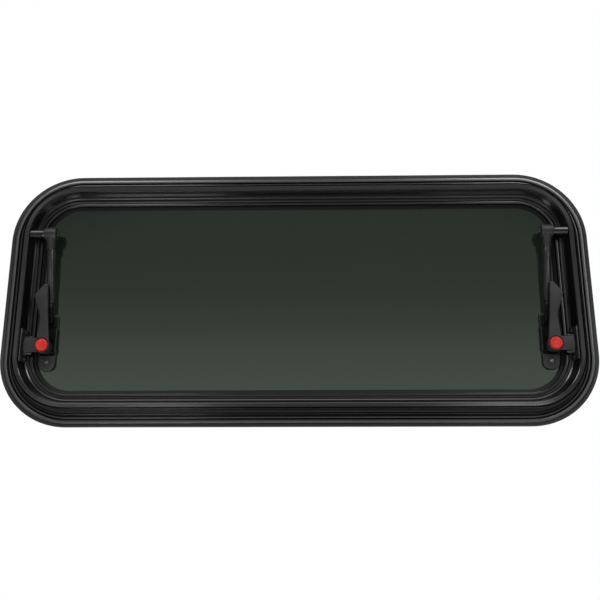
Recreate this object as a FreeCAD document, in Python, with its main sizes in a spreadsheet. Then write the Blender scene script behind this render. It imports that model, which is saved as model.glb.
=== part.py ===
import FreeCAD, Part
import math
import os
import Sketcher

# Top-hung motorhome window seen from the room side.
# X runs to the right, Y outward through the wall and Z up.
# The origin lies on the flat land of the outer flange, at the middle of its bottom side.

V = FreeCAD.Vector

SIZES = {
    # outline of the whole window
    "outer_width": 806.0,
    "outer_height": 358.0,
    "outer_radius": 96.0,
    # outer flange, measured inward from the outline
    "flange_thickness": 3.2,
    "flange_lip_height": 0.3,
    "flange_edge_start": 1.2,
    "flange_lip_width": 1.0,
    "bead_start": 5.2,
    "bead_end": 8.6,
    "inner_land_start": 10.4,
    "inner_land_end": 13.8,
    "seat_land_start": 15.6,
    "groove_width": 0.4,
    "groove_depth": 1.1,
    "seat_land_middle": 18.6,
    # frame body through the wall
    "body_inset": 21.6,
    "body_depth": 18.5,
    "rim_chamfer": 0.8,
    "slot_start": 25.0,
    "slot_end": 26.9,
    "slot_floor": 15.2,
    "slot_chamfer": 0.4,
    "inner_rib_depth": 17.5,
    "jamb_edge_inset": 30.6,
    "jamb_edge_depth": 15.6,
    "jamb_upper_inset": 31.6,
    "jamb_upper_depth": 11.5,
    "jamb_middle_inset": 33.2,
    "jamb_middle_depth": 6.5,
    "jamb_lower_inset": 35.4,
    "jamb_lower_depth": 1.2,
    "jamb_foot_inset": 36.2,
    # sash and its seals
    "sash_seal_end": 40.6,
    "sash_seal_lip": 0.8,
    "sash_gap": 0.8,
    "sash_edge_inset": 24.6,
    "sash_edge_rim": 2.6,
    "sash_chamfer": 0.8,
    "sash_lip_inset": 40.6,
    "sash_lip_front": 0.8,
    "sash_lip_width": 1.6,
    "sash_lip_slope": 0.8,
    "sash_inner_inset": 44.6,
    "sash_inner_step": 5.8,
    "glass_inset": 28.2,
    "glass_room_face": 7.6,
    "glass_thickness": 4.0,
    "gasket_inner_inset": 49.7,
    "gasket_height": 1.6,
    "gasket_edge": 0.3,
    # hinge rail on the outside
    "hinge_end_margin": 7.0,
    "hinge_top_inset": 8.0,
    "hinge_depth": 14.0,
    "hinge_wall": 1.4,
    "hinge_bottom_inset": 27.5,
    "hinge_cap_length": 4.0,
    "hinge_cap_margin": 0.4,
    # latch
    "latch_inset": 59.9,
    "latch_above_corner": 12.4,
    "hub_radius": 10.4,
    "hub_back": 5.0,
    "hub_front": 14.5,
    "arm_back": 9.5,
    "grip_front": 17.2,
    "grip_ramp_start": 40.0,
    "grip_ramp_end": 55.0,
    "tip_height": 85.0,
    "tip_half_width": 2.4,
    "tip_round": 1.6,
    "tab_reach": 15.2,
    "tab_height": 69.0,
    "tab_round": 2.4,
    "waist_height": 40.0,
    "waist_outer": 5.4,
    "waist_inner": 5.4,
    "waist_round": 26.0,
    "root_outer": 8.4,
    "root_inner": 9.4,
    "root_height": 3.0,
    "tongue_front": 14.0,
    "tongue_back": 10.5,
    "tongue_reach": 25.4,
    "tongue_half_height": 9.6,
    "button_radius": 9.0,
    "button_clearance": 0.2,
    "button_front": 16.6,
    "button_thickness": 3.4,
    "button_recess": 3.5,
    "button_round": 0.9,
    "button_dish_radius": 5.2,
    "button_dish_depth": 0.7,
    "spindle_radius": 5.0,
    "spindle_clearance": 0.05,
    "spindle_bore_depth": 3.5,
    "spindle_end_gap": 0.3,
    "spindle_collar_radius": 7.0,
    # base that carries the latch and the foot of the stay
    "base_face": 3.1,
    "base_offset": 2.9,
    "base_half_width": 11.6,
    "base_screw_drop": 20.6,
    "base_top": 46.6,
    "base_boss_radius": 9.0,
    "base_boss_height": 3.1,
    "base_rib_width": 2.2,
    "base_rib_height": 2.5,
    "base_rib_low": 6.0,
    "base_rib_high": 26.0,
    "screw_boss_radius": 5.6,
    "screw_boss_height": 1.0,
    "screw_head_radius": 3.8,
    "screw_recess": 1.4,
    "screw_head_height": 1.8,
    "screw_clearance": 0.2,
    # keeper on the jamb
    "keeper_length": 44.0,
    "keeper_centre_rise": 2.6,
    "keeper_gap": 0.45,
    "keeper_plate": 1.2,
    "keeper_top_depth": 12.5,
    "catch_top": 8.8,
    "catch_thickness": 1.5,
    "catch_reach": 45.5,
    "catch_length": 25.0,
    "catch_centre_rise": 0.1,
    "keeper_screw_radius": 2.4,
    "keeper_screw_height": 1.2,
    "keeper_screw_spread": 17.8,
    "keeper_screw_depth": 4.2,
    # telescopic stay
    "pin_above_corner": 6.0,
    "pin_depth": 10.0,
    "pin_radius": 6.3,
    "pin_core_radius": 3.0,
    "pin_core_clearance": 0.05,
    "pin_seat_gap": 0.3,
    "knuckle_inset": 50.0,
    "knuckle_width": 16.7,
    "knuckle_radius": 9.0,
    "neck_radius": 6.4,
    "neck_length": 19.6,
    "pin_cap_radius": 4.6,
    "pin_cap_thickness": 2.6,
    "pin_cap_round": 0.8,
    "stay_foot_offset": 3.5,
    "stay_foot_depth": 2.2,
    "collar_radius": 6.5,
    "collar_length": 3.6,
    "tube_radius": 5.75,
    "tube_end_ring": 1.6,
    "tube_end_groove": 0.5,
    "tube_bore_depth": 14.0,
    "tube_wall_clearance": 0.1,
    "rod_radius": 2.2,
    "rod_exposed": 15.4,
    "rod_seat_gap": 0.5,
    "rod_overlap": 12.0,
    "foot_width": 9.0,
    "foot_length": 14.0,
    "foot_front": 2.4,
}


class Size:
    """A length that keeps the spreadsheet formula it comes from."""

    def __init__(self, value, formula):
        self.value = float(value)
        self.formula = formula

    def __add__(self, other):
        return Size(self.value + other.value, f"({self.formula} + {other.formula})")

    def __sub__(self, other):
        return Size(self.value - other.value, f"({self.formula} - {other.formula})")

    def __mul__(self, factor):
        return Size(self.value * factor, f"({self.formula} * {factor})")

    def __neg__(self):
        return self * -1

    def half(self):
        return self * 0.5

    def squared(self):
        return Size(self.value ** 2, f"({self.formula}) ^ 2")


doc = FreeCAD.newDocument("motorhome_window")
sheet = doc.addObject("Spreadsheet::Sheet", "Sizes")
size = {}
for row, (name, value) in enumerate(SIZES.items(), start=1):
    sheet.set(f"A{row}", name)
    sheet.set(f"B{row}", str(value))
    sheet.setAlias(f"B{row}", name)
    size[name] = Size(value, f"Sizes.{name}")
doc.recompute()

ZERO = Size(0.0, "0")
SIDES = {"left": -1, "right": 1}


def root(square):
    """Square root of a size."""
    return Size(math.sqrt(square.value), f"sqrt({square.formula})")


half_width = size["outer_width"].half()
half_height = size["outer_height"].half()
window_centre_z = half_height - size["seat_land_middle"]
latch_x = half_width - size["latch_inset"]
corner_z = half_height - size["outer_radius"]
latch_z = size["latch_above_corner"] - corner_z
pin_z = corner_z + size["pin_above_corner"]
knuckle_x = half_width - size["knuckle_inset"] - size["knuckle_width"].half()
nodes = []


def new_body(label, base=(ZERO, ZERO, ZERO), rotation=None):
    """Start a body whose origin stands at base, measured from the window's centre."""
    body = doc.addObject("PartDesign::Body", label)
    body.Label = label
    x, y, z = base
    z = window_centre_z + z
    turn = rotation or FreeCAD.Rotation()
    body.Placement = FreeCAD.Placement(V(x.value, y.value, z.value), turn)
    body.setExpression("Placement.Base.x", x.formula)
    body.setExpression("Placement.Base.y", y.formula)
    body.setExpression("Placement.Base.z", z.formula)
    nodes.append(body)
    return body


def sketch_on(body, role, offset=None):
    """Attach a sketch to one of the body's own origin planes."""
    sketch = body.newObject("Sketcher::SketchObject", body.Label + "_sketch")
    plane = next(item for item in body.Origin.OriginFeatures if item.Role == role)
    sketch.AttachmentSupport = [(plane, "")]
    sketch.MapMode = "FlatFace"
    if offset is not None:
        sketch.AttachmentOffset = FreeCAD.Placement(V(0, 0, offset.value), FreeCAD.Rotation())
        sketch.setExpression("AttachmentOffset.Base.z", offset.formula)
    return sketch


def drive(sketch, kind, geometry, point, length):
    """Hold one coordinate of a sketch point to a spreadsheet formula."""
    rule = Sketcher.Constraint(kind, -1, 1, geometry, point, length.value)
    index = sketch.addConstraint(rule)
    sketch.setExpression(f"Constraints[{index}]", length.formula)


def join(sketch, first, count):
    """Close a chain of curves end to start."""
    rules = []
    for step in range(count):
        following = first + (step + 1) % count
        rules.append(Sketcher.Constraint("Coincident", first + step, 2, following, 1))
    sketch.addConstraint(rules)


def polygon(sketch, points):
    """Draw a closed polygon whose corners are all driven."""
    first = sketch.GeometryCount
    count = len(points)
    corners = [V(x.value, y.value, 0) for x, y in points]
    lines = [Part.LineSegment(corners[i], corners[(i + 1) % count]) for i in range(count)]
    sketch.addGeometry(lines, False)
    join(sketch, first, count)
    for index, (x, y) in enumerate(points):
        drive(sketch, "DistanceX", first + index, 1, x)
        drive(sketch, "DistanceY", first + index, 1, y)


def circle(sketch, x, y, radius):
    """Draw a circle with driven centre and radius."""
    index = sketch.GeometryCount
    sketch.addGeometry(Part.Circle(V(x.value, y.value, 0), V(0, 0, 1), radius.value), False)
    drive(sketch, "DistanceX", index, 3, x)
    drive(sketch, "DistanceY", index, 3, y)
    rule = sketch.addConstraint(Sketcher.Constraint("Radius", index, radius.value))
    sketch.setExpression(f"Constraints[{rule}]", radius.formula)


def rounded_rectangle(sketch, inset):
    """Draw the window's outline moved inward by inset, starting at the bottom middle."""
    right = half_width - inset
    top = half_height - inset
    radius = size["outer_radius"] - inset
    straight_x = right - radius
    straight_z = top - radius
    ends = [
        (ZERO, -top), (straight_x, -top), (right, -straight_z), (right, straight_z),
        (straight_x, top), (-straight_x, top), (-right, straight_z), (-right, -straight_z),
        (-straight_x, -top),
    ]
    arc_starts = {1: (1, -1, 270), 3: (1, 1, 0), 5: (-1, 1, 90), 7: (-1, -1, 180)}
    curves = []
    for index, (x, z) in enumerate(ends):
        following = ends[(index + 1) % len(ends)]
        if index in arc_starts:
            sign_x, sign_z, angle = arc_starts[index]
            centre = V(sign_x * straight_x.value, sign_z * straight_z.value, 0)
            ring = Part.Circle(centre, V(0, 0, 1), radius.value)
            start = math.radians(angle)
            curves.append(Part.ArcOfCircle(ring, start, start + math.pi / 2))
        else:
            start = V(x.value, z.value, 0)
            curves.append(Part.LineSegment(start, V(following[0].value, following[1].value, 0)))
    first = sketch.GeometryCount
    sketch.addGeometry(curves, False)
    join(sketch, first, len(curves))
    for index, (x, z) in enumerate(ends):
        drive(sketch, "DistanceX", first + index, 1, x)
        drive(sketch, "DistanceY", first + index, 1, z)
    for index in arc_starts:
        rule = sketch.addConstraint(Sketcher.Constraint("Radius", first + index, radius.value))
        sketch.setExpression(f"Constraints[{rule}]", radius.formula)


def pad(body, sketch, length, midplane=False):
    """Extrude a sketch; a front sketch goes toward the room."""
    feature = body.newObject("PartDesign::Pad", body.Label + "_pad")
    feature.Profile = sketch
    feature.Midplane = midplane
    feature.Length = length.value
    feature.setExpression("Length", length.formula)
    return feature


def pocket(body, sketch, length=None, reverse=False):
    """Cut a sketch to a depth, or right through on both sides when no depth is given."""
    feature = body.newObject("PartDesign::Pocket", body.Label + "_pocket")
    feature.Profile = sketch
    feature.Reversed = reverse
    if length is None:
        feature.Type = "ThroughAll"
        feature.Midplane = True
    else:
        feature.Length = length.value
        feature.setExpression("Length", length.formula)
    return feature


def front_sketch(body, depth):
    """Sketch seen from the room on the plane that lies depth toward the room."""
    return sketch_on(body, "XZ_Plane", depth)


def ring(label, profile, path_inset):
    """Sweep a profile of (inset, y) points around the window's outline."""
    body = new_body(label)
    spine = sketch_on(body, "XZ_Plane")
    rounded_rectangle(spine, path_inset)
    section = sketch_on(body, "YZ_Plane")
    polygon(section, [(y, inset - half_height) for inset, y in profile])
    sweep = body.newObject("PartDesign::AdditivePipe", label + "_sweep")
    sweep.Profile = section
    sweep.Spine = spine
    return body


def turned(label, base, profile, rotation=None):
    """Revolve a profile of (radius, height) points about the body's own Z axis."""
    body = new_body(label, base, rotation)
    section = sketch_on(body, "XZ_Plane")
    polygon(section, profile)
    spin = body.newObject("PartDesign::Revolution", label + "_spin")
    spin.Profile = section
    spin.ReferenceAxis = (section, ["V_Axis"])
    spin.Angle = 360.0
    return body


def build_flange():
    s = size
    floor = s["groove_depth"]
    wall = s["groove_width"]
    lip_end = s["flange_lip_width"] + s["flange_edge_start"] + s["flange_edge_start"]
    profile = [
        (ZERO, s["flange_thickness"]),
        (ZERO, s["flange_edge_start"]),
        (s["flange_lip_width"], s["flange_lip_height"]),
        (lip_end, s["flange_lip_height"]),
        (lip_end + wall, floor),
        (s["bead_start"] - wall, floor),
        (s["bead_start"], ZERO),
        (s["bead_end"], ZERO),
        (s["bead_end"] + wall, floor),
        (s["inner_land_start"] - wall, floor),
        (s["inner_land_start"], ZERO),
        (s["inner_land_end"], ZERO),
        (s["inner_land_end"] + wall, floor),
        (s["seat_land_start"] - wall, floor),
        (s["seat_land_start"], ZERO),
        (s["body_inset"], ZERO),
        (s["body_inset"], s["flange_thickness"]),
    ]
    ring("outer_flange", profile, ZERO)


def build_frame_body():
    s = size
    inset = s["body_inset"]
    depth = s["body_depth"]
    bevel = s["slot_chamfer"]
    profile = [
        (inset, s["flange_thickness"]),
        (inset, s["rim_chamfer"] - depth),
        (inset + s["rim_chamfer"], -depth),
        (s["slot_start"] - bevel, -depth),
        (s["slot_start"], bevel - depth),
        (s["slot_start"], -s["slot_floor"]),
        (s["slot_end"], -s["slot_floor"]),
        (s["slot_end"], bevel - s["inner_rib_depth"]),
        (s["slot_end"] + bevel, -s["inner_rib_depth"]),
        (s["jamb_edge_inset"] - s["rim_chamfer"], s["rim_chamfer"] - s["inner_rib_depth"]),
        (s["jamb_edge_inset"], -s["jamb_edge_depth"]),
        (s["jamb_upper_inset"], -s["jamb_upper_depth"]),
        (s["jamb_middle_inset"], -s["jamb_middle_depth"]),
        (s["jamb_lower_inset"], -s["jamb_lower_depth"]),
        (s["jamb_foot_inset"], ZERO),
        (s["jamb_foot_inset"], s["flange_thickness"]),
    ]
    ring("frame_body", profile, s["body_inset"])


def build_sash():
    s = size
    sash_face = s["flange_thickness"] + s["sash_gap"]
    seal_start = s["jamb_foot_inset"]
    seal = [
        (seal_start, sash_face),
        (seal_start, s["sash_seal_lip"]),
        (seal_start + s["sash_seal_lip"], -s["sash_seal_lip"]),
        (s["sash_seal_end"] - s["sash_seal_lip"], s["sash_seal_lip"]),
        (s["sash_seal_end"], s["sash_seal_lip"] + s["sash_seal_lip"]),
        (s["sash_seal_end"], sash_face),
    ]
    ring("sash_seal", seal, seal_start)

    edge = s["sash_edge_inset"]
    rim = edge + s["sash_edge_rim"]
    bevel = s["sash_chamfer"]
    outer_face = s["glass_room_face"] + s["glass_thickness"] + s["gasket_edge"]
    lip = s["sash_lip_inset"]
    lip_front = s["sash_lip_front"]
    frame = [
        (edge + bevel, sash_face),
        (lip, sash_face),
        (lip, lip_front + bevel),
        (lip + s["sash_lip_slope"], lip_front),
        (lip + s["sash_lip_slope"] + s["sash_lip_width"], lip_front),
        (lip + s["sash_lip_slope"] + s["sash_lip_width"] + bevel, lip_front + bevel),
        (s["sash_inner_inset"], s["sash_inner_step"]),
        (s["sash_inner_inset"], s["glass_room_face"]),
        (rim, s["glass_room_face"]),
        (rim, outer_face - bevel),
        (rim - bevel, outer_face),
        (edge + bevel, outer_face),
        (edge, outer_face - bevel),
        (edge, sash_face + bevel),
    ]
    ring("sash_frame", frame, edge)

    gasket_face = s["glass_room_face"] - s["gasket_height"]
    gasket = [
        (s["sash_inner_inset"], s["glass_room_face"]),
        (s["sash_inner_inset"], gasket_face),
        (s["sash_inner_inset"] + s["gasket_height"], gasket_face),
        (s["gasket_inner_inset"], s["glass_room_face"] - s["gasket_edge"]),
        (s["gasket_inner_inset"], s["glass_room_face"]),
    ]
    ring("glazing_gasket", gasket, s["sash_inner_inset"])

    pane = new_body("glass_pane")
    outline = front_sketch(pane, -(s["glass_room_face"] + s["glass_thickness"]))
    rounded_rectangle(outline, s["glass_inset"])
    pad(pane, outline, s["glass_thickness"])


def hinge_hood(margin):
    """Outer line of the hood as (y, z) points, grown by margin."""
    s = size
    top = half_height - s["hinge_top_inset"] + margin
    face = s["hinge_depth"] + margin
    bottom = half_height - s["hinge_bottom_inset"] - margin
    back = s["flange_thickness"]
    return [
        (back, top),
        (back + s["hinge_wall"], top),
        (face - s["hinge_wall"] * 3, top - s["hinge_wall"] * 1.5),
        (face - s["hinge_wall"], top - s["hinge_wall"] * 4),
        (face, top - s["hinge_wall"] * 7),
        (face, bottom),
    ]


def build_hinge():
    s = size
    wall = s["hinge_wall"]
    sash_face = s["flange_thickness"] + s["sash_gap"]
    face = s["hinge_depth"]
    bottom = half_height - s["hinge_bottom_inset"]
    under = half_height - s["hinge_top_inset"] - wall * 7
    rail = new_body("hinge_rail")
    section = sketch_on(rail, "YZ_Plane")
    inner = [
        (face - wall, bottom),
        (face - wall, under - wall * 2),
        (face - wall * 2, under),
        (s["flange_thickness"], under),
    ]
    polygon(section, hinge_hood(ZERO) + inner)
    straight_run = half_width - s["outer_radius"] - s["hinge_end_margin"]
    pad(rail, section, straight_run * 2, midplane=True)

    for side, sign in SIDES.items():
        offset = (straight_run + s["hinge_cap_length"].half()) * sign
        cap = new_body("hinge_cap_" + side, (offset, ZERO, ZERO))
        outline = sketch_on(cap, "YZ_Plane")
        sash_top = half_height - s["sash_edge_inset"] + s["hinge_cap_margin"]
        inner = [
            (face - wall, bottom - s["hinge_cap_margin"]),
            (face - wall, sash_top),
            (sash_face, sash_top),
            (s["flange_thickness"], sash_top + s["sash_gap"]),
        ]
        polygon(outline, hinge_hood(s["hinge_cap_margin"]) + inner)
        pad(cap, outline, s["hinge_cap_length"], midplane=True)


def edge_names(feature, test):
    """Names of the feature's edges whose end points all pass the test."""
    doc.recompute()
    found = []
    for index, edge in enumerate(feature.Shape.Edges, start=1):
        if all(test(vertex.Point) for vertex in edge.Vertexes):
            found.append(f"Edge{index}")
    return found


def fillet(body, base, names, radius):
    """Round the named edges of a feature."""
    feature = body.newObject("PartDesign::Fillet", body.Label + "_round")
    feature.Base = (base, names)
    feature.Radius = radius.value
    feature.setExpression("Radius", radius.formula)
    return feature


def round_corner(body, base, x, z, radius):
    """Round the edge that runs along Y through one corner of a front outline."""
    def at_corner(point):
        return abs(point.x - x.value) < 0.001 and abs(point.z - z.value) < 0.001
    return fillet(body, base, edge_names(base, at_corner), radius)


def build_lever(side, sign, centre):
    s = size
    lever = new_body("latch_lever_" + side, centre)
    outline = front_sketch(lever, s["arm_back"])
    tip_outer = (s["tip_half_width"] * sign, s["tip_height"])
    tip_inner = (s["tip_half_width"] * -sign, s["tip_height"])
    tab = (s["tab_reach"] * sign, s["tab_height"])
    waist_outer = (s["waist_outer"] * sign, s["waist_height"])
    waist_inner = (s["waist_inner"] * -sign, s["waist_height"])
    polygon(outline, [
        tip_inner, tip_outer, tab, waist_outer,
        (s["root_outer"] * sign, s["root_height"]),
        (s["root_outer"] * sign, -s["root_height"]),
        (s["root_inner"] * -sign, -s["root_height"]),
        (s["root_inner"] * -sign, s["root_height"]),
        waist_inner,
    ])
    arm = pad(lever, outline, s["grip_front"] - s["arm_back"])
    for corner, radius in (
        (tip_inner, "tip_round"), (tip_outer, "tip_round"), (tab, "tab_round"),
        (waist_outer, "waist_round"),
    ):
        arm = round_corner(lever, arm, corner[0], corner[1], s[radius])

    shape = sketch_on(lever, "YZ_Plane")
    low = -s["hub_radius"] * 2
    high = s["grip_ramp_end"] * 2
    grip_back = s["grip_front"] - (s["hub_front"] - s["arm_back"])
    beyond = s["grip_front"] * 2
    polygon(shape, [
        (-s["hub_front"], low),
        (-s["hub_front"], s["grip_ramp_start"]),
        (-s["grip_front"], s["grip_ramp_end"]),
        (-beyond, s["grip_ramp_end"]),
        (-beyond, low),
    ])
    polygon(shape, [
        (-s["arm_back"], s["grip_ramp_start"]),
        (-grip_back, s["grip_ramp_end"]),
        (-grip_back, high),
        (ZERO, high),
        (ZERO, s["grip_ramp_start"]),
    ])
    pocket(lever, shape)

    hub = front_sketch(lever, s["hub_back"])
    circle(hub, ZERO, ZERO, s["hub_radius"])
    pad(lever, hub, s["hub_front"] - s["hub_back"])

    tongue = front_sketch(lever, s["tongue_back"])
    reach = s["tongue_reach"]
    tall = s["tongue_half_height"]
    corner = math.sqrt(reach.value ** 2 - tall.value ** 2) / reach.value
    middle = math.sqrt(reach.value ** 2 - (tall.value / 2) ** 2) / reach.value
    polygon(tongue, [
        (ZERO, tall), (reach * (corner * sign), tall), (reach * (middle * sign), tall.half()),
        (reach * sign, ZERO), (reach * (middle * sign), -tall.half()),
        (reach * (corner * sign), -tall), (ZERO, -tall),
    ])
    pad(lever, tongue, s["tongue_front"] - s["tongue_back"])

    recess = front_sketch(lever, s["hub_front"])
    circle(recess, ZERO, ZERO, s["button_radius"] + s["button_clearance"])
    pocket(lever, recess, s["button_recess"])

    bore = front_sketch(lever, s["hub_back"])
    circle(bore, ZERO, ZERO, s["spindle_radius"] + s["spindle_clearance"])
    pocket(lever, bore, s["spindle_bore_depth"], reverse=True)


def build_latch(side, sign):
    s = size
    toward_room = FreeCAD.Rotation(V(0, 0, 1), V(0, -1, 0))
    centre = (latch_x * sign, ZERO, latch_z)
    build_lever(side, sign, centre)

    radius = s["button_radius"]
    front = s["button_front"]
    back = front - s["button_thickness"]
    turned("latch_button_" + side, centre, [
        (ZERO, back),
        (radius, back),
        (radius, front - s["button_round"]),
        (radius - s["button_round"], front),
        (s["button_dish_radius"], front),
        (s["button_dish_radius"] - s["button_dish_depth"], front - s["button_dish_depth"]),
        (ZERO, front - s["button_dish_depth"]),
    ], toward_room)

    boss_top = s["base_boss_height"] - s["base_face"]
    spindle_end = s["hub_back"] + s["spindle_bore_depth"] - s["spindle_end_gap"]
    shoulder = s["hub_back"] - s["spindle_end_gap"]
    turned("latch_spindle_" + side, centre, [
        (ZERO, boss_top),
        (s["spindle_collar_radius"], boss_top),
        (s["spindle_collar_radius"], shoulder),
        (s["spindle_radius"], shoulder),
        (s["spindle_radius"], spindle_end),
        (ZERO, spindle_end),
    ], toward_room)

    base = new_body("latch_base_" + side, centre)
    thickness = s["glass_room_face"] - s["base_face"]
    middle = -s["base_offset"]
    inner = middle - s["base_half_width"]
    outer = middle + s["base_half_width"]
    plate = front_sketch(base, -s["glass_room_face"])
    polygon(plate, [
        (inner * sign, -s["base_screw_drop"]),
        (outer * sign, -s["base_screw_drop"]),
        (outer * sign, s["base_top"]),
        (inner * sign, s["base_top"]),
    ])
    pad(base, plate, thickness)
    foot = front_sketch(base, -s["glass_room_face"])
    circle(foot, middle * sign, -s["base_screw_drop"], s["base_half_width"])
    pad(base, foot, thickness)
    boss = front_sketch(base, -s["base_face"])
    circle(boss, ZERO, ZERO, s["base_boss_radius"])
    pad(base, boss, s["base_boss_height"])
    rib = front_sketch(base, -s["base_face"])
    rib_edge = inner + s["base_rib_width"]
    polygon(rib, [
        (inner * sign, -s["base_rib_low"]),
        (rib_edge * sign, -s["base_rib_low"]),
        (rib_edge * sign, s["base_rib_high"]),
        (inner * sign, s["base_rib_high"]),
    ])
    pad(base, rib, s["base_rib_height"])
    screw_boss = front_sketch(base, -s["base_face"])
    circle(screw_boss, middle * sign, -s["base_screw_drop"], s["screw_boss_radius"])
    pad(base, screw_boss, s["screw_boss_height"])
    seat = front_sketch(base, s["screw_boss_height"] - s["base_face"])
    head_hole = s["screw_head_radius"] + s["screw_clearance"]
    circle(seat, middle * sign, -s["base_screw_drop"], head_hole)
    pocket(base, seat, s["screw_recess"])

    head_seat = s["screw_boss_height"] - s["base_face"] - s["screw_recess"]
    head_top = head_seat + s["screw_head_height"]
    screw_at = (centre[0] + middle * sign, ZERO, centre[2] - s["base_screw_drop"])
    turned("base_screw_" + side, screw_at, [
        (ZERO, head_seat),
        (s["screw_head_radius"], head_seat),
        (s["screw_head_radius"], head_top - s["screw_clearance"]),
        (s["screw_head_radius"] - s["screw_clearance"], head_top),
        (ZERO, head_top),
    ], toward_room)


def build_keeper(side, sign):
    s = size
    gap = s["keeper_gap"]
    plate = s["keeper_plate"]
    top = s["keeper_top_depth"]
    middle = s["jamb_middle_inset"] + gap
    lower = s["jamb_lower_inset"] + gap
    upper = s["jamb_upper_inset"] + gap
    keeper_z = latch_z + s["keeper_centre_rise"]
    keeper = new_body("keeper_" + side, (ZERO, ZERO, keeper_z))
    section = sketch_on(keeper, "XY_Plane")
    line = [
        (upper, -top),
        (upper, -s["jamb_upper_depth"]),
        (middle, -s["jamb_middle_depth"]),
        (lower, -s["jamb_lower_depth"]),
        (lower + plate, -s["jamb_lower_depth"]),
        (middle + plate, -s["jamb_middle_depth"]),
        (upper + plate, -s["jamb_upper_depth"]),
        (upper + plate, -top),
    ]
    polygon(section, [((half_width - inset) * sign, y) for inset, y in line])
    pad(keeper, section, s["keeper_length"], midplane=True)

    offset = s["catch_centre_rise"] - s["keeper_centre_rise"]
    catch = sketch_on(keeper, "XY_Plane", offset)
    front = -s["catch_top"]
    back = front + s["catch_thickness"]
    corners = [
        (middle + plate.half(), back),
        (s["catch_reach"], back),
        (s["catch_reach"], front),
        (middle + plate.half(), front),
    ]
    polygon(catch, [((half_width - inset) * sign, y) for inset, y in corners])
    pad(keeper, catch, s["catch_length"], midplane=True)

    run = SIZES["jamb_lower_inset"] - SIZES["jamb_middle_inset"]
    rise = SIZES["jamb_middle_depth"] - SIZES["jamb_lower_depth"]
    normal = V(-rise * sign, -run, 0)
    along = (SIZES["jamb_middle_depth"] - SIZES["keeper_screw_depth"]) / rise
    reach = middle + plate + Size(run * along, str(run * along))
    for name, step in (("upper", 1), ("lower", -1)):
        height = keeper_z + s["keeper_screw_spread"] * step
        seat = ((half_width - reach) * sign, -s["keeper_screw_depth"], height)
        turned(f"keeper_screw_{name}_{side}", seat, [
            (ZERO, ZERO),
            (s["keeper_screw_radius"], ZERO),
            (s["keeper_screw_radius"] * 0.8, s["keeper_screw_height"]),
            (ZERO, s["keeper_screw_height"]),
        ], FreeCAD.Rotation(V(0, 0, 1), normal))


def build_pin(side, sign):
    """Dark pivot pin that stands on the jamb and carries the knuckle on a thinner core."""
    s = size
    pin = new_body("stay_pin_" + side)
    inner_x = knuckle_x - s["knuckle_width"].half()
    outer_x = knuckle_x + s["knuckle_width"].half()
    for start, end, radius in (
        (outer_x, half_width - s["body_inset"], s["pin_radius"]),
        (inner_x, outer_x, s["pin_core_radius"]),
    ):
        outline = sketch_on(pin, "YZ_Plane", start * sign)
        circle(outline, -s["pin_depth"], pin_z, radius)
        length = pad(pin, outline, end - start)
        length.Reversed = sign < 0
    gap = s["pin_seat_gap"]
    spine = sketch_on(pin, "XZ_Plane")
    rounded_rectangle(spine, s["body_inset"])
    seat = sketch_on(pin, "YZ_Plane")
    jamb = [
        (s["jamb_edge_inset"] + gap, -s["body_depth"]),
        (s["jamb_edge_inset"] + gap, -s["jamb_edge_depth"]),
        (s["jamb_upper_inset"] + gap, -s["jamb_upper_depth"]),
        (s["jamb_middle_inset"] + gap, -s["jamb_middle_depth"]),
        (s["jamb_lower_inset"] + gap, -s["jamb_lower_depth"]),
        (ZERO, -s["jamb_lower_depth"]),
        (ZERO, -s["body_depth"]),
    ]
    polygon(seat, [(y, inset - half_height) for inset, y in jamb])
    trim = pin.newObject("PartDesign::SubtractivePipe", pin.Label + "_trim")
    trim.Profile = seat
    trim.Spine = spine


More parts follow.
